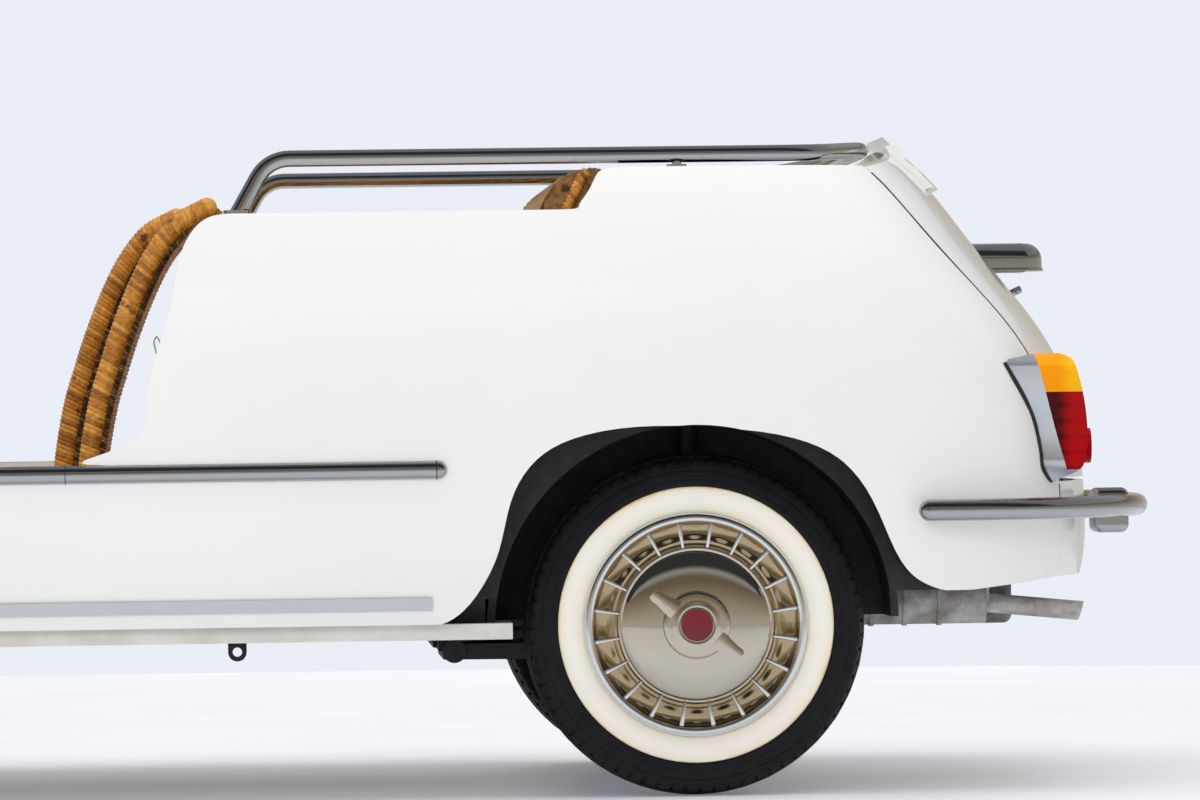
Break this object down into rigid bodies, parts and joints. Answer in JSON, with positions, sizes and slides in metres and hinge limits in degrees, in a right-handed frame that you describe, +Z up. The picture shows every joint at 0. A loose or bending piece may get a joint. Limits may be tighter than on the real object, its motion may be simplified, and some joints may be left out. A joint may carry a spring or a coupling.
{
  "type": "rear-engined open beach car",
  "caption": "Small open beach car with a rear engine, wicker seats, no doors, a wraparound hand rail, steering, turning wheels and opening lids.",
  "frame": {"origin": "on the ground under the middle of the car", "axes": "+X forward, +Y to the car's left, +Z up"},
  "size_m": [3.3, 1.427, 1.228],
  "materials": {
    "body_paint": "gloss ivory white",
    "floor_paint": "satin black underseal",
    "chrome": "polished",
    "aluminium": "satin",
    "glass": "clear",
    "lens_clear": "fluted clear",
    "lens_amber": "translucent",
    "lens_red": "translucent",
    "lamp_metal": "grey sheet metal",
    "wicker": "woven rattan",
    "tyre": "whitewall, black tread",
    "wheel_cap": "polished",
    "steering_plastic": "ivory",
    "chassis_black": "satin black",
    "engine_metal": "cast",
    "exhaust": "weathered"
  },
  "bodies": {
    "car": {"body_side_left": "body_paint", "body_side_right": "body_paint", "front_fender_left": "body_paint", "front_fender_right": "body_paint", "nose_panel": "body_paint", "cowl_panel": "body_paint", "rear_valance": "body_paint", "front_bulkhead": "body_paint", "floor_pan": "floor_paint", "rear_bulkhead": "body_paint", "rear_deck": "body_paint", "inner_wheel_arches": "floor_paint", "windshield_frame": "chrome", "windshield_glass": "glass", "dashboard": "body_paint", "waist_mouldings": "chrome", "sill_mouldings": "aluminium", "hand_rail": "chrome", "front_bumper": "chrome", "rear_bumper": "chrome", "headlamp_rims": "chrome", "headlamp_lenses": "lens_clear", "front_indicators": "lens_amber", "tail_lamp_housings": "lamp_metal", "tail_lamp_amber_lenses": "lens_amber", "tail_lamp_red_lenses": "lens_red", "front_seat_left": "wicker", "front_seat_right": "wicker", "rear_seat": "wicker", "steering_column": "chassis_black", "driver_controls": "chassis_black", "front_axle": "chassis_black", "rear_suspension": "chassis_black", "drive_shafts": "chassis_black", "engine_block": "engine_metal", "silencer": "exhaust"},
    "engine_lid": {"engine_lid": "body_paint", "rear_reflectors": "lens_red", "plate_lamp": "chrome"},
    "front_lid": {"front_lid": "body_paint"},
    "steering": {"steering_wheel": "steering_plastic"},
    "front_left_steer": {"front_left_knuckle": "chassis_black"},
    "front_right_steer": {"front_right_knuckle": "chassis_black"},
    "front_left_spin": {"front_left_tyre": "tyre", "front_left_wheel": "wheel_cap"},
    "front_right_spin": {"front_right_tyre": "tyre", "front_right_wheel": "wheel_cap"},
    "rear_left_spin": {"rear_left_tyre": "tyre", "rear_left_wheel": "wheel_cap"},
    "rear_right_spin": {"rear_right_tyre": "tyre", "rear_right_wheel": "wheel_cap"}
  },
  "joints": [
    {"name": "engine_lid_hinge", "type": "hinge", "parent": "car", "child": "engine_lid", "pos_m": [-1.182, 0, 0.955], "axis": [0, 1, 0], "range_deg": [0, 55]},
    {"name": "front_lid_hinge", "type": "hinge", "parent": "car", "child": "front_lid", "pos_m": [0.753, 0, 0.896], "axis": [0, -1, 0], "range_deg": [0, 60]},
    {"name": "front_left_steering", "type": "hinge", "parent": "car", "child": "front_left_steer", "pos_m": [1.085, 0.525, 0.258], "axis": [0, 0, 1], "range_deg": [-30, 30]},
    {"name": "front_right_steering", "type": "hinge", "parent": "car", "child": "front_right_steer", "pos_m": [1.085, -0.525, 0.258], "axis": [0, 0, 1], "range_deg": [-30, 30]},
    {"name": "steering_wheel_turn", "type": "hinge", "parent": "car", "child": "steering", "pos_m": [0.37, 0.3, 0.79], "axis": [-0.866, 0, 0.5], "range_deg": [-420, 420]},
    {"name": "front_left_roll", "type": "hinge", "parent": "front_left_steer", "child": "front_left_spin", "pos_m": [1.085, 0.577, 0.258], "axis": [0, 1, 0], "continuous": true},
    {"name": "front_right_roll", "type": "hinge", "parent": "front_right_steer", "child": "front_right_spin", "pos_m": [1.085, -0.577, 0.258], "axis": [0, 1, 0], "continuous": true},
    {"name": "rear_left_roll", "type": "hinge", "parent": "car", "child": "rear_left_spin", "pos_m": [-0.915, 0.577, 0.258], "axis": [0, 1, 0], "continuous": true},
    {"name": "rear_right_roll", "type": "hinge", "parent": "car", "child": "rear_right_spin", "pos_m": [-0.915, -0.577, 0.258], "axis": [0, 1, 0], "continuous": true}
  ],
  "couplings": [
    {"joint": "front_right_steering", "follows": "front_left_steering", "ratio": 1},
    {"joint": "steering_wheel_turn", "follows": "front_left_steering", "ratio": 14}
  ]
}
